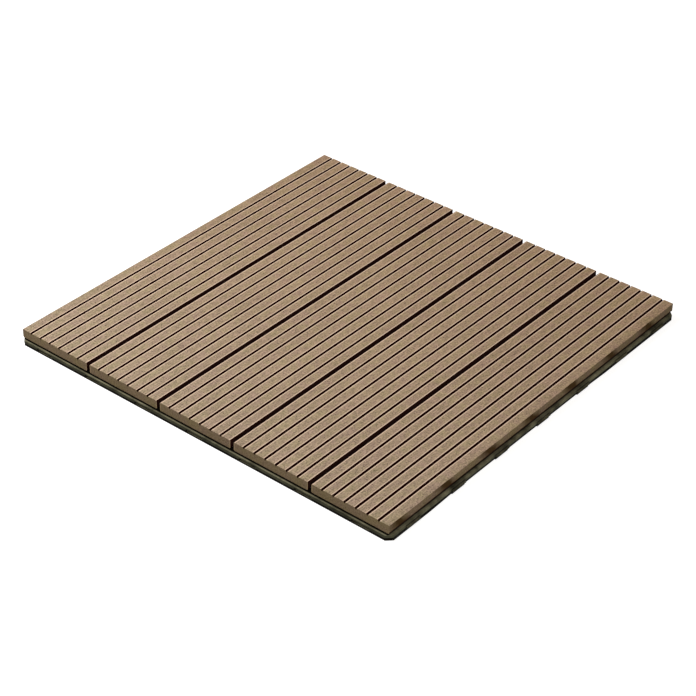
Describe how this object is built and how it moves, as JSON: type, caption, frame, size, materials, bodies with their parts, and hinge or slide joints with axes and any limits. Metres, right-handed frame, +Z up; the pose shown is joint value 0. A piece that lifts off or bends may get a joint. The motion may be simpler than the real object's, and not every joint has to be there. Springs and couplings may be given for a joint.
{
  "type": "interlocking deck tile",
  "caption": "Square outdoor deck tile: grooved composite slats screwed to a moulded plastic grid base whose edges snap into neighbouring tiles.",
  "frame": {"origin": "middle of the underside, on the ground face of the central foot", "axes": "+Z up through the tile, X across the slats, Y along them; the tongue edges face +X and +Y, the socket edges -X and -Y"},
  "size_m": [0.6025, 0.6025, 0.022],
  "materials": {
    "composite_slat": "brushed matt wood-plastic composite",
    "base_plastic": "moulded, fine matt",
    "screw_steel": "plain stainless"
  },
  "bodies": {
    "root": {"slat_1": "composite_slat", "slat_2": "composite_slat", "slat_3": "composite_slat", "slat_4": "composite_slat", "slat_5": "composite_slat", "base_grid": "base_plastic", "slat_screws": "screw_steel"}
  },
  "joints": []
}
